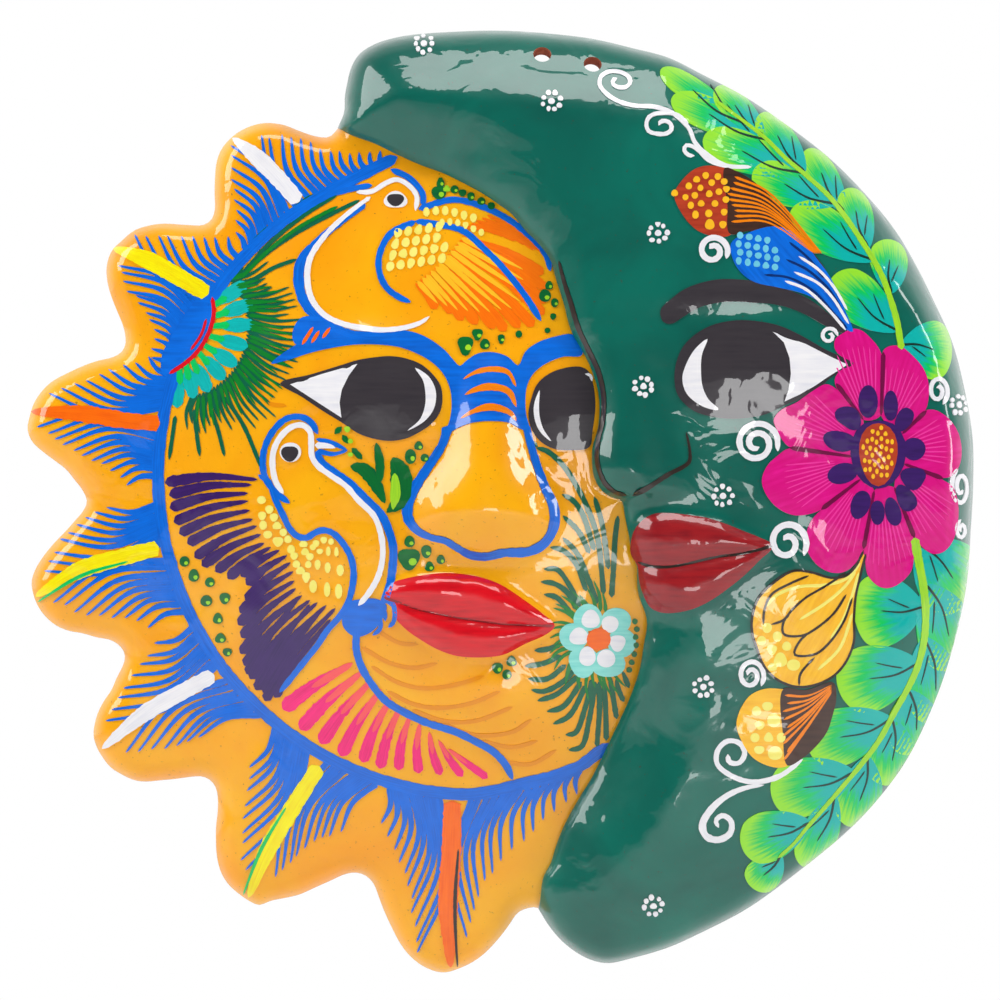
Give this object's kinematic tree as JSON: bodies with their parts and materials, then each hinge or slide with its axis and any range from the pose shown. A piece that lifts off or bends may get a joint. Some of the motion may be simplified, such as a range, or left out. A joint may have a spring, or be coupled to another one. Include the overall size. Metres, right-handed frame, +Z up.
{
  "type": "sun and moon wall plaque",
  "caption": "Hand-built clay wall plaque: a domed sun face with wavy rays beside a crescent moon in profile, hollow behind, with holes for a hanging wire.",
  "frame": {"origin": "on the wall plane, level with the middle of the plaque: the middle of the back rim's plane", "axes": "+Y points into the wall, the relief faces -Y, +X to the right as seen from the front, +Z up"},
  "size_m": [0.305, 0.0526, 0.3041],
  "materials": {
    "sun_clay": "orange-yellow paint under gloss lacquer",
    "ray_clay": "orange and blue paint under gloss lacquer",
    "moon_clay": "deep green paint under gloss lacquer",
    "sun_lips": "red paint under gloss lacquer",
    "moon_lips": "dark red paint under gloss lacquer",
    "eyes": "charcoal and white paint under gloss lacquer"
  },
  "bodies": {
    "root": {"moon_crescent": "moon_clay", "sun_face": "sun_clay", "sun_nose": "sun_clay", "sun_left_eye": "eyes", "sun_right_eye": "eyes", "sun_upper_lip": "sun_lips", "sun_lower_lip": "sun_lips", "moon_nose": "moon_clay", "moon_eye": "eyes", "moon_upper_lip": "moon_lips", "moon_lower_lip": "moon_lips", "sun_ray_1": "ray_clay", "sun_ray_2": "ray_clay", "sun_ray_3": "ray_clay", "sun_ray_4": "ray_clay", "sun_ray_5": "ray_clay", "sun_ray_6": "ray_clay", "sun_ray_7": "ray_clay"}
  },
  "joints": []
}
